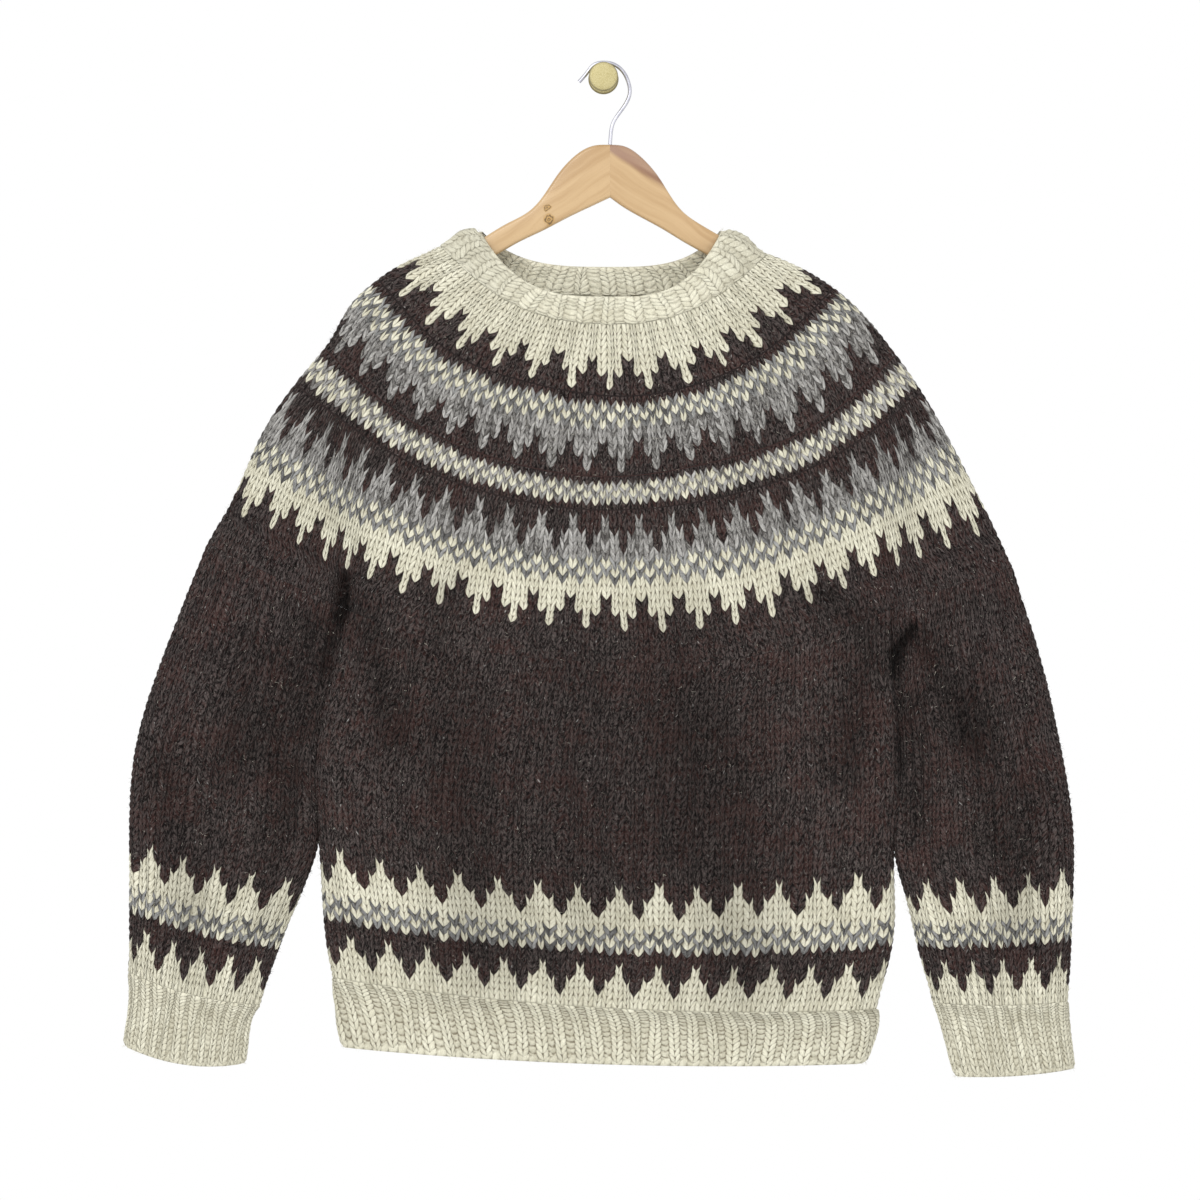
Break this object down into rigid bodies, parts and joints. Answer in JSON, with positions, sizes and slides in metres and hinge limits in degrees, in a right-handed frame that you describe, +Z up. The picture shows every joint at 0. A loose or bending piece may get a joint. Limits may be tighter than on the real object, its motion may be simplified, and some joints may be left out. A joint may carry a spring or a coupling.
{
  "type": "fair isle sweater on a wooden hanger with a wall knob",
  "caption": "Long-sleeved knitted pullover with a round patterned yoke, ribbed neck, cuffs and hem, hanging flat on a wooden hanger from a wall knob.",
  "frame": {"origin": "middle of the wall knob's foot, in the plane of the wall", "axes": "+Z up, +X to the right of someone who looks at the sweater's front, -Y out of the wall; the front faces -Y"},
  "size_m": [0.8755, 0.0575, 0.935],
  "materials": {
    "cream_wool": "undyed cream wool, 1x1 rib, matt with a light halo of hairs",
    "patterned_wool": "stranded stocking stitch in cream, grey heather and brown-black wool, matt",
    "dark_wool": "undyed brown-black wool in stocking stitch with pale flecks, matt",
    "pale_wood": "pale wood with a clear satin varnish",
    "steel_wire": "bright drawn wire",
    "aged_brass": "aged brass, mottled and softly shining"
  },
  "bodies": {
    "root": {"neckband": "cream_wool", "yoke": "patterned_wool", "body": "dark_wool", "hem_rib": "cream_wool", "sleeve_left": "dark_wool", "sleeve_right": "dark_wool", "cuff_left": "cream_wool", "cuff_right": "cream_wool", "hanger_left": "pale_wood", "hanger_right": "pale_wood", "hook_wire": "steel_wire", "wall_knob": "aged_brass"}
  },
  "joints": []
}
